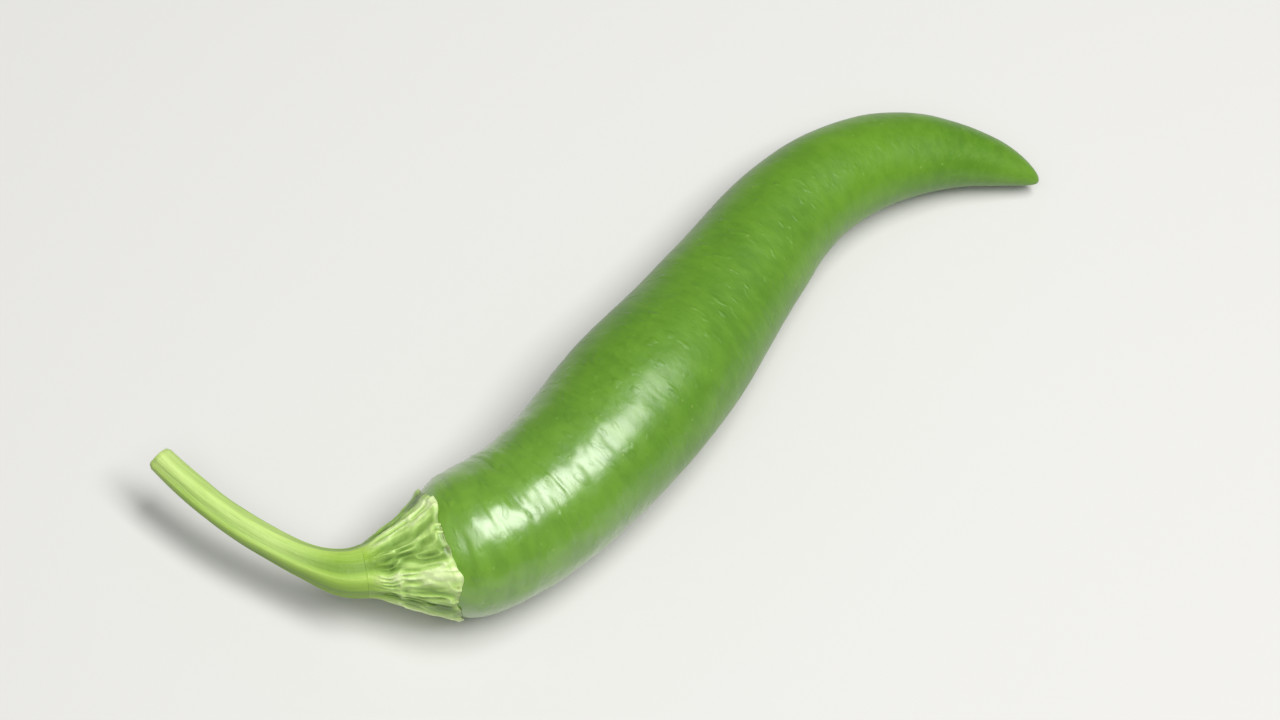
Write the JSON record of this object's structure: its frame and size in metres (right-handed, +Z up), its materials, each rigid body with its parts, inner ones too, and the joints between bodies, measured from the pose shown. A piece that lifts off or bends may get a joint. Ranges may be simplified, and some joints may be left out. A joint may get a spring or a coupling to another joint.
{
  "type": "chilli pepper",
  "caption": "Green chilli pepper with a curved tapering pod, a ribbed calyx and a bent stem, lying on its side.",
  "frame": {"origin": "centre of the overall box at the level of the surface the pepper lies on", "axes": "+X from the cut end of the stem towards the tip of the pod, +Z up, square to the surface it lies on"},
  "size_m": [0.1196, 0.0492, 0.0189],
  "materials": {
    "pod_skin": "gloss",
    "calyx_skin": "satin",
    "stem_skin": "satin"
  },
  "bodies": {
    "root": {"pod": "pod_skin", "calyx": "calyx_skin", "stem": "stem_skin"}
  },
  "joints": []
}
